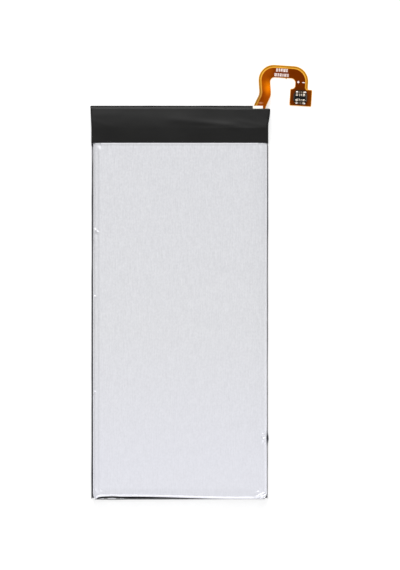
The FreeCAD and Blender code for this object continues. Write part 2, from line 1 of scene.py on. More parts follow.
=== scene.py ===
import math
import bmesh
import bpy
from mathutils import Matrix, Vector, noise


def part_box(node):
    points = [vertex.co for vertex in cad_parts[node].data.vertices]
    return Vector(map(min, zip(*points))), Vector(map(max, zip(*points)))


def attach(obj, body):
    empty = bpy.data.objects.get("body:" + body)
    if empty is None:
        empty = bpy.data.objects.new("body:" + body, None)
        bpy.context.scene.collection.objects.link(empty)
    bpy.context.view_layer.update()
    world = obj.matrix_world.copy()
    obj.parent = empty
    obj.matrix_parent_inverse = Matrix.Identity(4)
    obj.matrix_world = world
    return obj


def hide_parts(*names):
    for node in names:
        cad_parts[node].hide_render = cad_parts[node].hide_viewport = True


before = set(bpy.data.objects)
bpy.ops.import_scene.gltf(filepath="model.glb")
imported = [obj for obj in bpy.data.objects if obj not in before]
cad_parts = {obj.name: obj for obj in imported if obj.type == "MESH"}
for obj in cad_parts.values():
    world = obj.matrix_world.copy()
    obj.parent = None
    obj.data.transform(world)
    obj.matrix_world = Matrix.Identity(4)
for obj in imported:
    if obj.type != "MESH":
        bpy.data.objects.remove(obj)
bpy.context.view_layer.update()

mm = 0.001


# Shared helpers

def ease(value, start, length):
    # nothing at the start, one a length further on; a negative length runs the other way
    share = max(0.0, min(1.0, (value - start) / length))
    return share * share * (3 - 2 * share)


def bump(distance, width):
    # one at the middle, fading to nothing a couple of widths away
    return math.exp(-(distance / width) ** 2)


def wander(x, y, z):
    # a slow, smooth unevenness, about zero on average
    return noise.noise(Vector((x, y, z)))


def lineDistance(x, y, start, end):
    # how far a point lies from a short line, in plan
    dx, dy = end[0] - start[0], end[1] - start[1]
    along = ((x - start[0]) * dx + (y - start[1]) * dy) / (dx * dx + dy * dy)
    along = max(0.0, min(1.0, along))
    return math.hypot(x - start[0] - dx * along, y - start[1] - dy * along)


def addCreases(lift, x, y, creases):
    for start, end, width, height in creases:
        lift += height * bump(lineDistance(x, y, start, end), width)
    return lift


def inMm(corners):
    return [corner / mm for corner in corners]


def newPiece(name, bm, materials, replaced=()):
    mesh = bpy.data.meshes.new(name)
    bm.to_mesh(mesh)
    bm.free()
    for material in materials:
        mesh.materials.append(material)
    piece = bpy.data.objects.new(name, mesh)
    bpy.context.scene.collection.objects.link(piece)
    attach(piece, "root")
    if replaced:
        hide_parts(*replaced)
    return piece


def copyOfNode(name, flatAngle=0.4):
    # the node's own mesh with its doubles merged and its flat faces made whole again
    bm = bmesh.new()
    bm.from_mesh(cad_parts[name].data)
    bmesh.ops.remove_doubles(bm, verts=bm.verts, dist=0.0005 * mm)
    bmesh.ops.dissolve_limit(bm, angle_limit=math.radians(flatAngle), verts=bm.verts, edges=bm.edges)
    for face in bm.faces:
        face.material_index = 0
    return bm


def steps(start, end, step):
    count = max(1, round((end - start) / step))
    return [start + (end - start) * index / count for index in range(count + 1)]


def cutAcross(bm, axis, places):
    # extra edge loops where a plane across that axis meets the piece
    normal = Vector((0, 0, 0))
    normal[axis] = 1
    for place in places:
        point = normal * place * mm
        geometry = bm.verts[:] + bm.edges[:] + bm.faces[:]
        bmesh.ops.bisect_plane(bm, geom=geometry, dist=1e-8, plane_co=point, plane_no=normal)


def thicken(bm, height):
    # flat outlines drawn up into thin closed plates
    extruded = bmesh.ops.extrude_face_region(bm, geom=bm.faces[:])
    raised = [item for item in extruded["geom"] if isinstance(item, bmesh.types.BMVert)]
    bmesh.ops.translate(bm, vec=(0, 0, height * mm), verts=raised)
    bmesh.ops.recalc_face_normals(bm, faces=bm.faces)


def smoothShading(bm, sharpAngle):
    limit = math.radians(sharpAngle)
    for face in bm.faces:
        face.smooth = True
    for edge in bm.edges:
        edge.smooth = edge.is_manifold and edge.calc_face_angle(0) < limit


# Material nodes

def newMaterial(name, color, roughness, metallic=0.0, specular=0.5, coat=0.0, coatRoughness=0.1):
    material = bpy.data.materials.new(name)
    material.use_nodes = True
    nodes = material.node_tree.nodes
    shader = nodes["Principled BSDF"]
    shader.inputs["Base Color"].default_value = (*color, 1)
    shader.inputs["Roughness"].default_value = roughness
    shader.inputs["Metallic"].default_value = metallic
    shader.inputs["Specular IOR Level"].default_value = specular
    shader.inputs["Coat Weight"].default_value = coat
    shader.inputs["Coat Roughness"].default_value = coatRoughness
    material.diffuse_color = (*color, 1)
    return material, nodes, material.node_tree.links, shader


def giveGlow(material, color, strength):
    shader = material.node_tree.nodes["Principled BSDF"]
    shader.inputs["Emission Color"].default_value = (*color, 1)
    shader.inputs["Emission Strength"].default_value = strength


def noiseNode(nodes, links, scale, stretch=(1, 1, 1), detail=3.0, roughness=0.5):
    coordinates = nodes.new("ShaderNodeTexCoord")
    mapping = nodes.new("ShaderNodeMapping")
    mapping.inputs["Scale"].default_value = stretch
    texture = nodes.new("ShaderNodeTexNoise")
    texture.inputs["Scale"].default_value = scale
    texture.inputs["Detail"].default_value = detail
    texture.inputs["Roughness"].default_value = roughness
    links.new(coordinates.outputs["Object"], mapping.inputs["Vector"])
    links.new(mapping.outputs["Vector"], texture.inputs["Vector"])
    return texture.outputs["Fac"]


def rampNode(nodes, links, source, stops):
    ramp = nodes.new("ShaderNodeValToRGB")
    while len(ramp.color_ramp.elements) < len(stops):
        ramp.color_ramp.elements.new(0.5)
    for element, (place, color) in zip(ramp.color_ramp.elements, stops):
        element.position = place
        element.color = (*color, 1)
    links.new(source, ramp.inputs["Fac"])
    return ramp.outputs["Color"]


def axisRamp(nodes, links, axis, reach, stops):
    # a colour that changes along one of the object's own axes, over that reach in mm
    coordinates = nodes.new("ShaderNodeTexCoord")
    split = nodes.new("ShaderNodeSeparateXYZ")
    spread = nodes.new("ShaderNodeMapRange")
    spread.inputs["From Min"].default_value = reach[0] * mm
    spread.inputs["From Max"].default_value = reach[1] * mm
    links.new(coordinates.outputs["Object"], split.inputs["Vector"])
    links.new(split.outputs[axis], spread.inputs["Value"])
    return rampNode(nodes, links, spread.outputs["Result"], stops)


def multiplyNode(nodes, links, first, second):
    mix = nodes.new("ShaderNodeMix")
    mix.data_type = "RGBA"
    mix.blend_type = "MULTIPLY"
    mix.inputs[0].default_value = 1.0
    links.new(first, mix.inputs[6])
    links.new(second, mix.inputs[7])
    return mix.outputs[2]


def bumpNode(nodes, links, height, strength, distance, shader):
    node = nodes.new("ShaderNodeBump")
    node.inputs["Strength"].default_value = strength
    node.inputs["Distance"].default_value = distance
    links.new(height, node.inputs["Height"])
    links.new(node.outputs["Normal"], shader.inputs["Normal"])


def spotFactor(nodes, links, centre, radii):
    # one at a place on the object, falling to nothing at the radii
    coordinates = nodes.new("ShaderNodeTexCoord")
    mapping = nodes.new("ShaderNodeMapping")
    mapping.vector_type = "TEXTURE"
    mapping.inputs["Location"].default_value = Vector(centre) * mm
    mapping.inputs["Scale"].default_value = Vector(radii) * mm
    distance = nodes.new("ShaderNodeVectorMath")
    distance.operation = "LENGTH"
    fall = nodes.new("ShaderNodeMapRange")
    fall.interpolation_type = "SMOOTHSTEP"
    fall.inputs["To Min"].default_value = 1.0
    fall.inputs["To Max"].default_value = 0.0
    links.new(coordinates.outputs["Object"], mapping.inputs["Vector"])
    links.new(mapping.outputs["Vector"], distance.inputs[0])
    links.new(distance.outputs["Value"], fall.inputs["Value"])
    return fall.outputs["Result"]


def spotMix(nodes, links, under, color, centre, radii):
    # another colour laid over a place on the object
    mix = nodes.new("ShaderNodeMix")
    mix.data_type = "RGBA"
    mix.inputs[7].default_value = (*color, 1)
    links.new(spotFactor(nodes, links, centre, radii), mix.inputs[0])
    links.new(under, mix.inputs[6])
    return mix.outputs[2]


# Materials

white = (1, 1, 1)
cellReach = (-46, 42)           # the pouch's foot and the tape's mouth, mm


def laminateMaterial():
    look = {
        "color": (0.78, 0.78, 0.80), "roughness": 0.42, "metallic": 0.5,
        "paintedLightTones": [                  # painted light: the face is painted lighter and bluer towards the foot; from the foot to the head
            (0.0, (0.91, 0.915, 0.98)), (0.11, (0.888, 0.893, 0.957)), (0.48, (0.832, 0.837, 0.867)),
            (0.88, (0.775, 0.78, 0.81)), (1.0, (0.765, 0.77, 0.80)),
        ],
        "grain": 5200, "grainDark": (0.90, 0.90, 0.90),
        "speckle": 2600, "speckleDark": (0.91, 0.91, 0.915),
        "fade": [                   # both patterns are fainter at the foot
            (0.0, (0.55, 0.55, 0.55)), (0.5, (0.85, 0.85, 0.85)), (1.0, white),
        ],
        "polish": 0.27,             # roughness where the laminate has been crumpled
        "polished": [               # centre and radii of those places, mm
            ((20.85, -44.9, 4), (0.8, 0.9, 4)), ((20.7, -30.4, 4), (1.0, 1.6, 4)),
            ((-20.6, 20.3, 4), (0.9, 1.1, 4)), ((-21.1, 4.4, 4), (0.8, 1.0, 4)),
            ((-21.1, -19.6, 4), (0.7, 0.8, 4)),
        ],
    }
    material, nodes, links, shader = newMaterial(
        "pouchLaminate", look["color"], look["roughness"], look["metallic"])
    grain = noiseNode(nodes, links, look["grain"], (1, 0.06, 1), 4, 0.6)
    speckle = noiseNode(nodes, links, look["speckle"], (1, 0.7, 1), 2)
    # painted light: the face's colour lightens towards the foot
    tone = axisRamp(nodes, links, "Y", cellReach, look["paintedLightTones"])
    fade = axisRamp(nodes, links, "Y", cellReach, look["fade"])
    for pattern, dark in ((grain, look["grainDark"]), (speckle, look["speckleDark"])):
        patternTone = rampNode(nodes, links, pattern, [(0.3, dark), (0.7, white)])
        tone = multiplyNode(nodes, links, tone, patternTone)
        links.new(fade, tone.node.inputs[0])
    links.new(tone, shader.inputs["Base Color"])
    bumpNode(nodes, links, grain, 0.25, 0.00002, shader)
    factors = [spotFactor(nodes, links, *spot) for spot in look["polished"]]
    total = factors[0]
    for factor in factors[1:]:
        add = nodes.new("ShaderNodeMath")
        links.new(total, add.inputs[0])
        links.new(factor, add.inputs[1])
        total = add.outputs["Value"]
    shine = nodes.new("ShaderNodeMapRange")
    shine.inputs["To Min"].default_value = look["roughness"]
    shine.inputs["To Max"].default_value = look["polish"]
    links.new(total, shine.inputs["Value"])
    links.new(shine.outputs["Result"], shader.inputs["Roughness"])
    return material


def shadedSeamMaterial(name, greys):
    # folded laminate painted greyer than the drawn face as painted shade; the greys run from foot to head
    # and paint the light and shade along the seam
    material, nodes, links, shader = newMaterial(name, (greys[0],) * 3, 0.5, 0.6)
    grain = noiseNode(nodes, links, 900, (1, 0.2, 1))
    grainTone = rampNode(nodes, links, grain, [(0.3, (0.75, 0.75, 0.77)), (0.7, white)])
    stops = [(index / (len(greys) - 1), (grey, grey, grey)) for index, grey in enumerate(greys)]
    along = axisRamp(nodes, links, "Y", cellReach, stops)
    links.new(multiplyNode(nodes, links, along, grainTone), shader.inputs["Base Color"])
    return material


def tapeMaterial():
    look = {
        "dark": (0.0052, 0.0052, 0.0050), "light": (0.0080, 0.0080, 0.0077),
        "finHighlight": (0.10, 0.10, 0.097),            # painted highlight along the root of the pinched fin, where the end wall's rounded edge catches light
        "finRoot": ((-5, 50.52, 1.65), (60, 0.34, 0.6)),        # its centre and radii, mm
    }
    material, nodes, links, shader = newMaterial("blackTape", look["dark"], 0.36, specular=0.20)
    patches = noiseNode(nodes, links, 140, (1, 1.6, 1))
    tone = rampNode(nodes, links, patches, [(0.35, look["dark"]), (0.7, look["light"])])
    # painted highlight laid along the fin's root
    tone = spotMix(nodes, links, tone, look["finHighlight"], *look["finRoot"])
    links.new(tone, shader.inputs["Base Color"])
    fine = noiseNode(nodes, links, 3200, detail=2)
    bumpNode(nodes, links, fine, 0.12, 0.00002, shader)
    return material


def filmMaterial(name, dark, light, shaded):
    # amber film, with painted shade on the stretch that comes down from the head
    shadedPlace = ((19.2, 53.6, 1), (3.0, 4.6, 9))
    material, nodes, links, shader = newMaterial(name, dark, 0.4, specular=0.08)
    patches = noiseNode(nodes, links, 420)
    tone = rampNode(nodes, links, patches, [(0.3, dark), (0.7, light)])
    links.new(spotMix(nodes, links, tone, shaded, *shadedPlace), shader.inputs["Base Color"])
    return material


def coveredCopperMaterial():
    # copper under amber film, with painted light: orange where the lead turns to the light, red-brown on
    # the level part
    look = {
        "reach": (19.0, 32.5),
        "across": [                 # painted light and shade, from the lead to the pad
            (0.0, (0.38, 0.075, 0.001)), (0.14, (0.40, 0.078, 0.001)), (0.22, (0.32, 0.058, 0.001)),
            (0.32, (0.215, 0.036, 0.0008)), (0.45, (0.18, 0.030, 0.0006)),
            (0.85, (0.152, 0.024, 0.0005)), (1.0, (0.205, 0.040, 0.0008)),
        ],
        "paintedLightSpots": [                  # painted light and shade: colour, centre, radii
            ((0.17, 0.028, 0.001), (19.9, 53.4, 1.5), (2.8, 3.6, 9)),       # painted shade at the foot of the lead
            ((0.27, 0.048, 0.001), (20.4, 59.2, 0.4), (2.6, 2.6, 9)),       # painted light at the bend into the bar
            ((0.66, 0.165, 0.001), (21.8, 55.7, 0.8), (1.5, 2.6, 9)),       # painted highlight where the lead is brightest
            ((0.50, 0.20, 0.09), (19.9, 51.7, 1.9), (0.9, 0.4, 9)),         # painted glint above the strip
            ((0.070, 0.022, 0.003), (29.80, 53.3, 0.8), (3.1, 3.3, 9)),     # painted shade over the pad, around the plug
        ],
        "cloud": 360,
    }
    material, nodes, links, shader = newMaterial(
        "coveredCopper", (0.17, 0.03, 0.002), 0.42, 0.12, specular=0.0)
    tone = axisRamp(nodes, links, "X", look["reach"], look["across"])
    # painted light and shade laid over the copper's colour
    for spot in look["paintedLightSpots"]:
        tone = spotMix(nodes, links, tone, *spot)
    cloud = noiseNode(nodes, links, look["cloud"], detail=4)
    cloudTone = rampNode(nodes, links, cloud, [(0.25, (0.78, 0.74, 0.7)), (0.75, (1.1, 1.1, 1.1))])
    links.new(multiplyNode(nodes, links, tone, cloudTone), shader.inputs["Base Color"])
    return material


def contactMaterial(name, tail):
    # bright plating, with painted shade as a dark band at the foot of the moulding's walls
    dark, plate = (0.03, 0.022, 0.015), (0.92, 0.82, 0.70)
    material, nodes, links, shader = newMaterial(name, (0.9, 0.8, 0.66), 0.30, 1.0)
    low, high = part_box("plug_housing")
    middle = (low.y + high.y) / 2 / mm
    # painted shade: dark bands where the moulding's walls shade the contacts
    band = axisRamp(nodes, links, "Y", (middle - 2, middle + 2), [
        (0.0, tail), (0.225, tail), (0.25, dark), (0.28, dark), (0.30, plate), (0.70, plate),
        (0.72, dark), (0.75, dark), (0.775, tail)])
    stain = noiseNode(nodes, links, 1900)
    stainTone = rampNode(nodes, links, stain, [(0.3, (0.72, 0.68, 0.62)), (0.6, white)])
    links.new(multiplyNode(nodes, links, band, stainTone), shader.inputs["Base Color"])
    return material


def plugMaterial():
    # black moulding, brownish at its two ends, with painted highlights along their rims, the right one
    # brighter
    material, nodes, links, shader = newMaterial(
        "plugPlastic", (0.010, 0.0095, 0.0095), 0.42, specular=0.2)
    low, high = inMm(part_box("plug_housing"))
    # painted highlights along the rims of the moulding's two ends
    across = axisRamp(nodes, links, "X", (low.x, high.x), [
        (0.0, (0.040, 0.024, 0.016)), (0.07, (0.030, 0.022, 0.017)), (0.11, (0.007, 0.0065, 0.0065)),
        (0.87, (0.007, 0.0065, 0.0065)), (0.92, (0.085, 0.066, 0.052)), (1.0, (0.045, 0.028, 0.018))])
    patches = noiseNode(nodes, links, 2600)
    patchTone = rampNode(nodes, links, patches, [(0.35, (0.6, 0.6, 0.6)), (0.65, (1.3, 1.3, 1.3))])
    links.new(multiplyNode(nodes, links, across, patchTone), shader.inputs["Base Color"])
    return material


def speckledMaterial(name, dark, light, roughness, scale,
                     metallic=0.0, specular=0.5, coat=0.0, stretch=(1, 1, 1)):
    material, nodes, links, shader = newMaterial(name, dark, roughness, metallic, specular, coat)
    patches = noiseNode(nodes, links, scale, stretch)
    tone = rampNode(nodes, links, patches, [(0.35, dark), (0.65, light)])
    links.new(tone, shader.inputs["Base Color"])
    bumpNode(nodes, links, patches, 0.1, 0.00001, shader)
    return material


laminate = laminateMaterial()
# painted shade and light: each seam's greys darken and lighten along it as the light falls on it
seamLeft = shadedSeamMaterial("seamLaminateLeft", (0.30, 0.42, 0.50, 0.40, 0.26))
seamRight = shadedSeamMaterial("seamLaminateRight", (0.62, 0.55, 0.48, 0.46, 0.50))
# painted shade: the bottom fold's top is painted darker than the face
foldShadeGrey = shadedSeamMaterial("foldLaminate", (0.27, 0.24))
# painted shade: a near-black skin in the gap behind the bottom fold
foldGapShade = shadedSeamMaterial("foldGapShade", (0.09, 0.09))
tape = tapeMaterial()
film = filmMaterial("amberFilm", (0.66, 0.28, 0.018), (0.86, 0.40, 0.04), (0.44, 0.18, 0.01))
filmGlue = filmMaterial("amberFilmGlue", (0.27, 0.12, 0.002), (0.37, 0.165, 0.004), (0.24, 0.10, 0.002))
coveredCopper = coveredCopperMaterial()
whiteStrip = speckledMaterial("whiteStrip", (0.94, 0.92, 0.82), (0.98, 0.97, 0.90), 0.45, 900)
# painted light: the strip glows so that it looks as brightly lit from the head side
giveGlow(whiteStrip, (1.0, 0.98, 0.88), 0.28)
steel = speckledMaterial(
    "stiffenerSteel", (0.50, 0.50, 0.49), (0.62, 0.62, 0.60), 0.32, 1800, 1.0, stretch=(1, 0.1, 1))
nickel = speckledMaterial(
    "nickelStrip", (0.56, 0.54, 0.50), (0.66, 0.64, 0.60), 0.34, 1500, 1.0, stretch=(0.1, 1, 1))
softAluminium = speckledMaterial("tabAluminium", (0.70, 0.70, 0.71), (0.80, 0.80, 0.81), 0.36, 1500, 1.0)
sealingFilm = speckledMaterial("tabSealingFilm", (0.74, 0.74, 0.66), (0.84, 0.84, 0.78), 0.4, 800)
insulatingFilm = speckledMaterial("insulatingFilm", (0.42, 0.20, 0.03), (0.52, 0.27, 0.05), 0.35, 700)
boardResist = speckledMaterial("boardResist", (0.012, 0.07, 0.045), (0.02, 0.10, 0.07), 0.25, 600, coat=0.3)
moulding = speckledMaterial("packageMoulding", (0.016, 0.016, 0.016), (0.028, 0.028, 0.028), 0.5, 2500)
chipCeramic = speckledMaterial("chipCeramic", (0.40, 0.31, 0.22), (0.52, 0.42, 0.32), 0.5, 2000)
foam = speckledMaterial("headFoam", (0.03, 0.03, 0.03), (0.07, 0.07, 0.07), 0.9, 2800)
plugPlastic = plugMaterial()
powerPlate = contactMaterial("powerPlate", (0.92, 0.82, 0.70))
signalPlate = contactMaterial("signalPlate", (0.36, 0.29, 0.23))
solder = speckledMaterial("solder", (0.94, 0.88, 0.85), (1.0, 0.97, 0.95), 0.30, 2200, 0.6)
dullSolder = speckledMaterial("dullSolder", (0.24, 0.19, 0.15), (0.46, 0.39, 0.32), 0.45, 2600, 0.5)
plugResin = speckledMaterial(
    "plugResin", (0.020, 0.010, 0.003), (0.042, 0.022, 0.007), 0.5, 1500, specular=0.12)
palePrint = speckledMaterial("palePrint", (0.50, 0.33, 0.28), (0.88, 0.76, 0.73), 0.5, 3600)
signPrint = speckledMaterial("signPrint", (0.90, 0.80, 0.76), (1.0, 0.94, 0.92), 0.5, 3600)

nodeMaterials = {               # by the start of the node's name
    "positive_tab": softAluminium,
    "negative_tab": nickel,
    "positive_tab_film": sealingFilm,
    "negative_tab_film": sealingFilm,
    "terrace_insulator": insulatingFilm,
    "protection_board": boardResist,
    "positive_weld_plate": nickel,
    "negative_weld_plate": nickel,
    "thermal_cutoff": moulding,
    "switch_transistors": moulding,
    "protection_controller": moulding,
    "thermistor": chipCeramic,
    "resistor_": chipCeramic,
    "capacitor_": chipCeramic,
    "head_foam": foam,
    "plug_stiffener": steel,
    "plug_housing": plugPlastic,
    "power_contact_": powerPlate,
    "signal_contact_": signalPlate,
}
for nodeName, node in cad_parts.items():
    starts = [start for start in nodeMaterials if nodeName.startswith(start)]
    if starts:
        node.data.materials.clear()
        node.data.materials.append(nodeMaterials[max(starts, key=len)])
print("materials made and given to the fixed frame")


# Pouch cell: the drawn laminate with its creases, dents and hand-folded seams

pouchLook = {
    "coarse": 1.0,              # edge loops this far apart over the face, mm
    "rowStep": 0.6,             # this far apart along it
    "fine": 0.16,               # and this far apart beside the edges
    "edgeBand": 3.0,
    "fineRows": [(19.2, 21.0), (3.4, 5.2), (-20.4, -18.6), (-32.2, -28.6)],
    "fineRowStep": 0.15,
    "cornerX": (18.4, 21.2),    # the crumpled corner, with the finest loops
    "cornerY": (-45.3, -43.7),
    "cornerStep": 0.1,
    "footRows": [-45.45, -45.3],
    "levels": [0.35, 1.0],
    "wall": 21.40,              # the folded seams lie beyond this
    "near": 0.02,               # what is this close to a plane counts as on it
    "cupFoot": -45.52,
    "faceFade": (1.0, 2.6),     # start and length of the fade down the walls; such pairs are for ease()
    "stackFoot": (19.65, -43.90),       # where the fixed frame's stack meets its margin
    "shoulder": 0.40,
    "stackRise": 0.10,
    "stackLeft": (-20.15, 0.45),
    "stackRight": (21.0, -3.6),
    "stackEnd": (-45.3, 2.4),
    "ridge": (-19.45, 0.22, 0.12),      # x, width and height of the stack's creased left edge
    "wave": 0.016,              # height of the face's slow waves
    "margin": (20.0, 1.2),
    "marginDrop": 0.06,
    "tapeEdge": 41.82,
    "lip": (0.28, 0.15, 0.045),         # rise before the tape: how far before it, width, height
    "tuckedFrom": 21.0,         # under the tape the sides are pressed in beyond this
    "tucked": 0.5,              # by this share of what stands further out
    "tuckFade": (-0.15, 0.17),          # from the tape's edge
    "dents": [                  # x, y, radius, depth
        (-20.75, 19.4, 0.50, 0.10), (-21.15, 3.5, 0.45, 0.12), (-21.10, -18.9, 0.35, 0.12),
        (20.95, -29.9, 0.30, 0.20), (20.70, -32.4, 0.60, 0.05), (-11.4, 36.4, 0.14, 0.06),
        (-20.3, -25.0, 0.40, 0.05),
        (20.9, -36.0, 0.30, 0.04), (20.6, -40.6, 0.30, 0.04), (-20.4, 33.5, 0.9, 0.03),
        (-20.3, 12.0, 0.8, 0.04), (-20.4, -3.0, 0.9, 0.03), (-20.5, -12.0, 0.7, 0.03),
    ],
    "creases": [                # start, end, width, height
        ((18.5, -45.0), (21.0, -43.95), 0.12, 0.08), ((19.1, -45.6), (20.2, -44.9), 0.13, 0.09),
        ((20.8, -45.3), (21.1, -44.6), 0.22, 0.12), ((18.7, -45.35), (20.9, -44.35), 0.15, -0.15),
        ((20.2, -45.6), (20.6, -44.8), 0.14, -0.16), ((16.8, -44.8), (18.6, -44.15), 0.30, 0.03),
        ((-20.85, 20.6), (-20.15, 19.9), 0.20, 0.17), ((-21.35, 4.7), (-20.85, 4.0), 0.20, 0.17),
        ((-21.35, -19.9), (-20.9, -19.3), 0.20, 0.14), ((-20.0, 40.9), (-20.0, 40.0), 0.20, 0.05),
        ((-20.9, -43.3), (-19.4, -44.9), 0.30, 0.05), ((20.35, -30.3), (21.0, -30.5), 0.22, 0.19),
        ((20.4, -29.7), (20.4, -30.3), 0.18, 0.15), ((20.3, -32.1), (20.6, -31.5), 0.25, 0.09),
    ],
    "seamWander": (0.05, 0.10),         # sideways, and in height along the hem
    "seamDentY": -30.8,         # where the right-hand seam bulges and the wall behind it is dented
    "seamDentOut": 0.25,
    "rightSeam": (0.03, 0.09),          # in at the foot, out towards the head
    "rightWall": (0.10, 0.06),          # out all along, and more towards the head
    "rightHead": (12.0, 14.0),          # the stretch over which both grow
    "leftSeam": [(0.07, (2.0, 20.0)), (0.09, (34.0, 7.0))],     # in by this, over that stretch
    "leftWall": (0.07, (8.0, 14.0)),
    "footSkew": (0.56, (14, -26)),      # in towards the left
    "footOut": 0.20,            # and out all along
    "footBulge": (-16.6, 1.3, 0.11),    # x, width, depth
    "footCorner": (0.50, (-19.9, -1.1)),
    "foldInner": -45.63,        # inner face of the fold that stands beside the foot wall
    "foldFloor": 0.22,
    "foldHeight": (0.12, 0.88),         # share of its full height at the right, and what the left adds
    "foldStands": (14.0, -18.0),
    "foldCorner": (-21.0, 1.5),
    "lens": -16.7,              # middle of the stretch where the fold gapes, and half its length
    "lensReach": 3.0,
    "lensRise": (0.15, 0.50),           # the inner layer stands up, the outer one lies down
    "lensGape": (0.28, 0.10),           # how far each layer moves away there
    "foldOut": 0.07,
    "foldWander": 0.03,
}


def stackProfile(x, y):
    # the fixed frame's own rise over the stack, one on top and nothing on the margin
    sideFoot, endFoot = pouchLook["stackFoot"]
    inside = min(sideFoot - abs(x), y - endFoot)
    return max(0.0, min(1.0, 2 * inside / pouchLook["shoulder"] - 1))


def stackShape(x, y):
    # the rise as it shows: a creased edge at the left, an easy fall at the right and the foot
    look = pouchLook
    foot = ease(y, *look["stackEnd"])
    ridgeX, width, height = look["ridge"]
    ridge = height * bump(x - ridgeX, width)
    return min(ease(x, *look["stackLeft"]), ease(x, *look["stackRight"]), foot) + ridge * foot


def pouchLift(x, y):
    # height added to the drawn face at a place, in mm
    look = pouchLook
    lift = look["wave"] * wander(x * 0.11, y * 0.045, 3.1)
    lift += look["wave"] * 0.5 * wander(x * 0.33, y * 0.12, 8.4)
    for dentX, dentY, radius, depth in look["dents"]:
        lift -= depth * bump(math.hypot(x - dentX, y - dentY), radius)
    lift = addCreases(lift, x, y, look["creases"])
    lift -= look["marginDrop"] * ease(abs(x), *look["margin"])
    lift += look["stackRise"] * (stackShape(x, y) - stackProfile(x, y))
    lift *= ease(y, look["tapeEdge"] - 0.5, -1.2)
    before, width, height = look["lip"]
    return lift + height * bump(y - look["tapeEdge"] + before, width)


def seamShift(side, y, z):
    # sideways wander of a folded seam, and the bulge of the right-hand dent
    look = pouchLook
    shift = look["seamWander"][0] * wander(side * 5.0, y * 0.16, z * 0.15) * ease(z, 0, 1.5)
    if side > 0:
        footIn, headOut = look["rightSeam"]
        shift += look["seamDentOut"] * bump(y - look["seamDentY"], 1.1) * ease(z, 0, 2.0) - footIn
        shift += headOut * ease(y, *look["rightHead"])
    else:
        shift -= sum(amount * ease(y, *stretch) for amount, stretch in look["leftSeam"])
    return shift * ease(y, 41.4, -1.0)


def wallShift(x, y):
    # the left wall gives way a little towards the head; the right one bears on its seam, but for its dent
    look = pouchLook
    if x < 0:
        inward, stretch = look["leftWall"]
        return inward * ease(y, *stretch) * ease(x, -20.4, -0.9)
    out, headOut = look["rightWall"]
    dented = bump(y - look["seamDentY"], 1.6)
    return ease(x, 20.2, 1.1) * (1 - dented) * (out + headOut * ease(y, *look["rightHead"]))


def footShift(x, y, z):
    # the foot's wall isn't square to the sides: it stands further in at the left
    look = pouchLook
    skew, skewStretch = look["footSkew"]
    bulgeX, width, bulge = look["footBulge"]
    corner, cornerStretch = look["footCorner"]
    pull = (skew * ease(x, *skewStretch) - look["footOut"]) * ease(x, -21.3, 2.4)
    pull += bulge * bump(x - bulgeX, width) - corner * ease(x, *cornerStretch)
    return pull * ease(y, -44.0, -1.3) * ease(z, 0.27, 0.6)


def shapeFold(x, y, z):
    # the bottom fold: pressed flat at the right, standing at the left, gaping over the lens
    look = pouchLook
    lowest, standing = look["foldHeight"]
    innerRise, outerFall = look["lensRise"]
    innerGape, outerGape = look["lensGape"]
    lens = bump(x - look["lens"], look["lensReach"] * 0.85)
    raised = ease(x, *look["foldStands"])
    outer = ease(y, look["foldInner"] - 0.05, -0.12)        # nothing in its inner layer, one in its outer
    rise = lowest + raised * (standing + innerRise * lens - outerFall * lens * outer)
    rise *= 0.25 + 0.75 * ease(x, *look["foldCorner"])
    z = look["foldFloor"] + (z - look["foldFloor"]) * rise
    y += innerGape * lens * (1 - outer) - (look["foldOut"] + outerGape * lens) * raised * outer
    y += look["foldWander"] * wander(x * 0.25, 4.0, 6.0)
    return y, z


def pouchSkinIndex(face):
    # 0 drawn laminate, 1 left seam, 2 right seam, 3 bottom fold, 4 the gap behind it, painted dark as shade
    look = pouchLook
    centre = face.calc_center_median() / mm
    if abs(centre.x) > look["wall"] + look["near"] and centre.y < look["tapeEdge"]:
        return 1 if centre.x < 0 else 2
    if look["foldInner"] < centre.y < -44.6 and centre.z < 0.98 and face.normal.z > -0.5:
        return 4
    inFold = centre.y < look["foldInner"] + look["near"] and centre.z < 1.2
    inLens = abs(centre.x - look["lens"]) < look["lensReach"] and centre.z > 0.5 and centre.y > -45.67
    return 3 if inFold and not inLens else 0


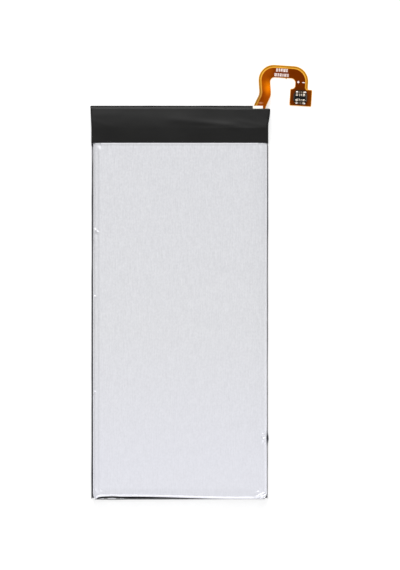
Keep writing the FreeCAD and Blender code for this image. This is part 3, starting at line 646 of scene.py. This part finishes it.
def makePouch():
    look = pouchLook
    bm = copyOfNode("pouch_cell")
    low, high = inMm(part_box("pouch_cell"))
    band, tapeEdge = look["edgeBand"], look["tapeEdge"]
    cutAcross(bm, 0, steps(low.x + 0.5, low.x + band, look["fine"]))
    cutAcross(bm, 0, steps(low.x + band + 1, high.x - band - 1, look["coarse"]))
    cutAcross(bm, 0, steps(high.x - band, high.x - 0.5, look["fine"]))
    cutAcross(bm, 1, look["footRows"])
    cutAcross(bm, 2, look["levels"])
    cutAcross(bm, 0, steps(*look["cornerX"], look["cornerStep"]))
    cutAcross(bm, 1, steps(*look["cornerY"], look["cornerStep"]))
    cutAcross(bm, 1, steps(low.y + 0.75, low.y + band, look["fine"]))
    cutAcross(bm, 1, steps(low.y + band + 0.5, tapeEdge - 1.5, look["rowStep"]))
    cutAcross(bm, 1, steps(tapeEdge - 1.0, tapeEdge, look["fineRowStep"]) + [tapeEdge + look["near"]])
    for first, last in look["fineRows"]:
        cutAcross(bm, 1, steps(first, last, look["fineRowStep"]))
    for vert in bm.verts:
        x, y, z = vert.co / mm
        side = math.copysign(1, x)
        tucked = look["tucked"] * ease(y - tapeEdge, *look["tuckFade"])
        if abs(x) > look["wall"] + look["near"]:   # a folded seam
            if z > 0.25:
                x += side * seamShift(side, y, z)
                z += look["seamWander"][1] * wander(side * 9.0, y * 0.22, 0.5) * ease(z, 2.0, 1.2)
        elif y > look["cupFoot"]:                  # the cup
            if z > 0.9 and y < tapeEdge:
                z += pouchLift(x, y) * ease(z, *look["faceFade"])
            if z > 0.3:
                x += wallShift(x, y)
                y += footShift(x, y, z)
        elif z > look["foldFloor"] + 0.05:         # the bottom fold
            y, z = shapeFold(x, y, z)
        x -= side * tucked * max(0.0, abs(x) - look["tuckedFrom"])
        vert.co = Vector((x, y, z)) * mm
    for face in bm.faces:
        face.material_index = pouchSkinIndex(face)
    smoothShading(bm, 32)
    skins = [laminate, seamLeft, seamRight, foldShadeGrey, foldGapShade]
    return newPiece("pouchSkin", bm, skins, ["pouch_cell"])


pouch = makePouch()
print("pouch cell made", len(pouch.data.polygons), "faces")


# Head tape: the wrapped tape with its slack, pinched fin and faint creases

tapeLook = {
    "columnStep": 1.0,          # edge loops this far apart across the tape, mm
    "rowStep": 0.35,            # and along it
    "creases": [                # start, end, width, height
        ((-1.8, 47.6), (13.6, 46.1), 0.75, 0.06), ((5.0, 46.9), (12.0, 46.3), 0.45, 0.035),
        ((14.0, 47.3), (21.0, 45.9), 0.35, 0.035), ((18.4, 50.0), (21.4, 47.4), 0.40, -0.06),
        ((20.2, 49.9), (21.9, 47.9), 0.25, 0.04), ((-20.5, 48.9), (-15.0, 49.0), 0.9, 0.04),
        ((-21.5, 47.4), (-17.0, 46.0), 0.4, 0.02), ((19.8, 45.8), (20.6, 43.0), 0.3, -0.02),
    ],
    "topStart": (42.4, 0.8),    # start and length of the stretch over which the top's forms come in
    "slack": 0.02,              # height of the top's slow waves
    "slackStart": (45.6, 1.5),
    "bow": (0.13, 0.03),        # the sloping part bows up at the left, and a little down at the right
    "bowLeft": (9.0, -7.0),
    "slope": (45.5, 4.8),       # where that part starts, and its length
    "wallShift": 0.20,          # end wall standing further out at the left than beside the flex
    "wallLeft": (12.0, -7.0),
    "wallStart": (49.4, 0.6),
    "sides": {-1: (-0.10, -0.17), 1: (0.22, -0.08)},        # side walls' shift at the end and the mouth
    "sideStart": (20.5, 1.1),
    "sideLength": 4.2,
    "waist": (46.2, 0.7, 0.10),         # y, width and depth of the right-hand side's dip
    "finRoot": 50.3,
    "finWander": (0.02, 0.03),  # in height, and of its cut edge
}


def makeTape():
    look = tapeLook
    bm = copyOfNode("head_tape")
    low, high = inMm(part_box("head_tape"))
    cutAcross(bm, 0, steps(low.x + 1, high.x - 1, look["columnStep"]))
    cutAcross(bm, 1, steps(low.y + 0.3, high.y - 1.2, look["rowStep"]))
    bowUp, bowDown = look["bow"]
    slopeStart, slopeLength = look["slope"]
    waistY, waistWidth, waistDepth = look["waist"]
    for vert in bm.verts:
        x, y, z = vert.co / mm
        if z > 2.2 and y < look["finRoot"]:        # the top
            lift = addCreases(0.0, x, y, look["creases"])
            lift += look["slack"] * wander(x * 0.18, y * 0.35, 1.7) * ease(y, *look["slackStart"])
            z += lift * ease(y, *look["topStart"])
            down = max(0.0, min(1.0, (y - slopeStart) / slopeLength))
            z += 4 * down * (1 - down) * (bowUp * ease(x, *look["bowLeft"]) - bowDown)
        if z > 1.75 and y > look["wallStart"][0]:          # the end wall
            y += look["wallShift"] * ease(x, *look["wallLeft"]) * ease(y, *look["wallStart"])
        if abs(x) > look["sideStart"][0] and z > 0.3 and y < 50.4:         # the side walls
            side = math.copysign(1, x)
            atEnd, atMouth = look["sides"][side]
            shift = atMouth + (atEnd - atMouth) * ease(y, slopeStart, look["sideLength"])
            if side > 0:
                shift -= waistDepth * bump(y - waistY, waistWidth)
            x += side * shift * ease(abs(x), *look["sideStart"]) * ease(z, 0, 0.8)
        if y > look["finRoot"] - 0.02 and z < 2.0:         # the fin
            rise, short = look["finWander"]
            z += rise * wander(x * 0.16, 2.0, 4.0)
            y -= short * (0.5 + wander(x * 0.21, 7.0, 1.0)) * ease(y, look["finRoot"], 0.5)
        vert.co = Vector((x, y, z)) * mm
    smoothShading(bm, 35)
    return newPiece("headTapeWrap", bm, [tape], ["head_tape"])


headTape = makeTape()
print("head tape made", len(headTape.data.polygons), "faces")


# Flex circuit: the film's clear rim and glue line, the copper's amber rim, the white strip, the marks

flexLook = {
    "filmRings": (0.15, 0.24),  # clear rim, then the darker glue line inside it, mm
    "copperRim": 0.20,          # amber width on the copper's own rim
    "thinRing": 0.004,          # width of a ring where it isn't wanted
    "inside": (25.2, 54.6),     # a place within the arch
    "pad": (26.5, 55.4),        # the pad lies right of and below this
    "padCut": 0.05,             # and one cut lies this far above it
    "merge": 0.02,              # shorter steps of the film's outline go
    "lean": 0.20,               # the lead stands this much further left where it leaves the head
    "leanUp": (54.8, -3.0),     # it comes in downwards over this stretch
    "leanDown": (48.5, 1.5),    # and is gone again at the board
    "stripShort": 0.45,         # bare lead beside the strip's right end
    "sharpAngle": 40,
    "copperThickness": 0.04,
    "markHeight": 0.012,
    "rows": [                   # left x, middle y, mark height, mark widths
        (23.75, 59.94, 0.80, (0.50, 0.32, 0.50, 0.60, 0.38)),
        (23.32, 58.78, 0.76, (0.62, 0.38, 0.54, 0.28, 0.58, 0.42)),
    ],
    "gap": 0.14,
    "slope": -3.7,              # the rows run down to the right, degrees
    "plus": ((29.20, 56.92), 0.56),     # centre and length of each sign
    "minus": ((30.50, 56.80), 0.62),
    "signWidth": 0.20,
    "signCorner": 0.04,
}


def insetRing(bm, faces, width):
    # a band just inside the outline, full width on the arch's outer side and next to nothing elsewhere
    ring = bmesh.ops.inset_region(bm, faces=faces, thickness=width * mm, use_boundary=True)
    covered = {vert for face in faces for vert in face.verts}
    inside = Vector(flexLook["inside"]) * mm
    padX, padY = flexLook["pad"]
    moved = {}
    for edge in {edge for face in ring["faces"] for edge in face.edges}:
        outer, inner = sorted(edge.verts, key=lambda vert: vert in covered)
        if inner in covered and outer not in covered:
            outward = (outer.co - inner.co).xy
            atPad = outer.co.x > padX * mm and outer.co.y < padY * mm
            if atPad or outward.dot(inside - outer.co.xy) > 0:
                moved[inner] = outer.co + (inner.co - outer.co).normalized() * flexLook["thinRing"] * mm
    for vert, place in moved.items():
        vert.co = place
    return [face for face in ring["faces"] if sum(vert in moved for vert in face.verts) < 2]


def upperFaces(bm):
    return [face for face in bm.faces if face.normal.z > 0.3]


def leanRoot(bm):
    look = flexLook
    for vert in bm.verts:
        x, y, z = vert.co / mm
        if x < look["pad"][0] - 1:
            vert.co.x -= look["lean"] * mm * ease(y, *look["leanUp"]) * ease(y, *look["leanDown"])


def makeFilm():
    bm = copyOfNode("flex_film")
    cutAcross(bm, 1, [flexLook["pad"][1] + flexLook["padCut"]])
    bmesh.ops.remove_doubles(bm, verts=bm.verts, dist=flexLook["merge"] * mm)
    rim, glue = flexLook["filmRings"]
    upper = upperFaces(bm)
    insetRing(bm, upper, rim)
    for face in insetRing(bm, upper, glue):
        face.material_index = 1
    leanRoot(bm)
    smoothShading(bm, flexLook["sharpAngle"])
    newPiece("flexFilm", bm, [film, filmGlue], ["flex_film"])


def makeCopper():
    bm = copyOfNode("flex_copper")
    cutAcross(bm, 1, [flexLook["pad"][1] + flexLook["padCut"]])
    for face in insetRing(bm, upperFaces(bm), flexLook["copperRim"]):
        face.material_index = 1
    leanRoot(bm)
    smoothShading(bm, flexLook["sharpAngle"])
    newPiece("flexCopper", bm, [coveredCopper, film], ["flex_copper"])


def makeStrip():
    bm = copyOfNode("flex_root_strip")
    low, high = inMm(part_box("flex_root_strip"))
    for vert in bm.verts:
        if vert.co.x / mm > (low.x + high.x) / 2:
            vert.co.x -= flexLook["stripShort"] * mm
    smoothShading(bm, flexLook["sharpAngle"])
    newPiece("rootStrip", bm, [whiteStrip], ["flex_root_strip"])


def flatMark(bm, centre, size, bottom, corner=0.06):
    # a flat outline with rounded corners, in line with the rows of marks
    turn = Matrix.Rotation(math.radians(flexLook["slope"]), 4, "Z")
    place = Matrix.Translation(Vector((*centre, bottom)) * mm) @ turn
    before = set(bm.verts)
    made = bmesh.ops.create_grid(bm, x_segments=1, y_segments=1, size=0.5 * mm, matrix=Matrix.Identity(4))
    bmesh.ops.scale(bm, vec=(size[0], size[1], 1), verts=made["verts"])
    bmesh.ops.bevel(
        bm, geom=made["verts"], offset=corner * mm, segments=3, affect="VERTICES", profile=0.5, material=-1)
    bmesh.ops.transform(bm, matrix=place, verts=[vert for vert in bm.verts if vert not in before])


def copperTop():
    # height of the level part's copper
    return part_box("flex_copper")[0].z / mm + flexLook["copperThickness"]


def makeMarks():
    look = flexLook
    bottom = copperTop() + look["markHeight"] / 2
    bm = bmesh.new()
    fall = math.tan(math.radians(look["slope"]))
    for leftX, middleY, height, widths in look["rows"]:
        along = 0.0
        for width in widths:
            centre = (leftX + along + width / 2, middleY + fall * (along + width / 2))
            flatMark(bm, centre, (width, height), bottom)
            along += width + look["gap"]
    rows = set(bm.faces)
    thick, corner = look["signWidth"], look["signCorner"]
    centre, length = look["plus"]
    flatMark(bm, centre, (length, thick), bottom, corner)
    flatMark(bm, centre, (thick, length), bottom + 0.001, corner)       # a hair higher where they cross
    centre, length = look["minus"]
    flatMark(bm, centre, (length, thick), bottom, corner)
    for face in bm.faces:
        face.material_index = 0 if face in rows else 1
    thicken(bm, look["markHeight"])
    newPiece("flexMarks", bm, [palePrint, signPrint])


makeFilm()
makeCopper()
makeStrip()
makeMarks()
print("flex circuit dressed")


# Solder on the plug's tails, and the dark resin that they stand in

solderLook = {
    "power": (0.60, 0.46, 0.17),        # length, width and height of a drop, mm
    "signal": (0.24, 0.34, 0.09),
    "fromTip": 0.22,            # from the end of its tail to a drop's middle
    "lean": {                   # how far a drop has run to the right
        "power_contact_1": 0.05, "power_contact_2": 0.30, "power_contact_3": 0.03, "power_contact_4": 0.20,
    },
    "turnPerLean": 0.9,
    "resinSize": (3.0, 3.5),
    "resinShift": (0.05, 0.12),         # from the middle of the moulding
    "resinCorner": 0.75,
    "resinAbove": 0.01,         # clear of the copper
    "resinHeight": 0.02,
}


def makeSolder():
    look = solderLook
    bm = bmesh.new()
    housingLow, housingHigh = inMm(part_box("plug_housing"))
    middle = (housingLow + housingHigh) / 2
    for nodeName in sorted(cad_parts):
        if "_contact_" not in nodeName:
            continue
        kind = nodeName.split("_")[0]
        low, high = inMm(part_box(nodeName))
        outward = 1 if (low.y + high.y) / 2 > middle.y else -1
        tipY = high.y - look["fromTip"] if outward > 0 else low.y + look["fromTip"]
        length, width, height = look[kind]
        lean = look["lean"].get(nodeName, 0.0)
        place = Matrix.Translation(Vector(((low.x + high.x) / 2 + lean, tipY, low.z)) * mm)
        place = place @ Matrix.Rotation(-outward * look["turnPerLean"] * lean, 4, "Z")
        place = place @ Matrix.Diagonal((length / 2 * mm, width / 2 * mm, height * mm, 1))
        made = bmesh.ops.create_uvsphere(bm, u_segments=20, v_segments=12, radius=1.0, matrix=place)
        for vert in made["verts"]:
            vert.co.z = max(vert.co.z, low.z * mm)
            for face in vert.link_faces:
                face.material_index = 0 if kind == "power" else 1
    bmesh.ops.remove_doubles(bm, verts=bm.verts, dist=0.0005 * mm)
    smoothShading(bm, 60)
    newPiece("plugSolder", bm, [solder, dullSolder])


def makeResin():
    look = solderLook
    low, high = inMm(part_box("plug_housing"))
    middle = (low + high) / 2
    shiftX, shiftY = look["resinShift"]
    bm = bmesh.new()
    centre = (middle.x + shiftX, middle.y + shiftY)
    flatMark(bm, centre, look["resinSize"], copperTop() + look["resinAbove"], look["resinCorner"])
    thicken(bm, look["resinHeight"])
    newPiece("plugResin", bm, [plugResin])


makeSolder()
makeResin()
print("solder and resin made")


# Floor, light and camera

studio = {
    "floor": (0.50, 0.50, 0.50),
    "floorGlow": 0.62,
    "world": 0.415,
    "lights": [                 # name, place, size, watts
        ("softHead", (-0.10, 0.90, 0.75), 0.6, 9.5),
        ("softTop", (-0.12, 0.45, 1.00), 0.5, 1.6),
        ("softRight", (0.90, -0.15, 0.62), 0.6, 1.2),
        ("softFront", (0.15, -0.95, 0.60), 0.6, 3.8),
    ],
    "lens": 250.0,
    "imageHeight": 570,
    "mmPerPixel": 0.24576,
    "middle": (4.978, 6.927, 3.0),      # what the middle of the image shows, mm
}


def makeStudio():
    scene = bpy.context.scene
    scene.view_settings.view_transform = "Standard"
    scene.view_settings.look = "None"
    world = bpy.data.worlds.new("studioWorld")
    scene.world = world
    world.use_nodes = True
    background = world.node_tree.nodes["Background"]
    background.inputs["Color"].default_value = (1, 1, 1, 1)
    background.inputs["Strength"].default_value = studio["world"]

    bm = bmesh.new()
    bmesh.ops.create_grid(bm, x_segments=1, y_segments=1, size=1.5)
    mesh = bpy.data.meshes.new("floor")
    bm.to_mesh(mesh)
    bm.free()
    floor = bpy.data.objects.new("floor", mesh)
    floor.location.z = -0.00002
    scene.collection.objects.link(floor)
    material = newMaterial("paleFloor", studio["floor"], 0.8, specular=0.1)[0]
    giveGlow(material, white, studio["floorGlow"])
    mesh.materials.append(material)

    for name, place, size, watts in studio["lights"]:
        data = bpy.data.lights.new(name, "AREA")
        data.shape = "SQUARE"
        data.size = size
        data.energy = watts
        lamp = bpy.data.objects.new(name, data)
        lamp.location = place
        lamp.rotation_euler = (-Vector(place)).to_track_quat("-Z", "Y").to_euler()
        lamp.visible_camera = False
        scene.collection.objects.link(lamp)

    data = bpy.data.cameras.new("camera")
    data.lens = studio["lens"]
    data.sensor_width = 36.0
    data.clip_start = 0.01
    data.clip_end = 20.0
    camera = bpy.data.objects.new("camera", data)
    tall = studio["imageHeight"] * studio["mmPerPixel"] * mm
    camera.location = Vector(studio["middle"]) * mm + Vector((0, 0, tall * data.lens / data.sensor_width))
    scene.collection.objects.link(camera)
    scene.camera = camera


makeStudio()
print("studio made")
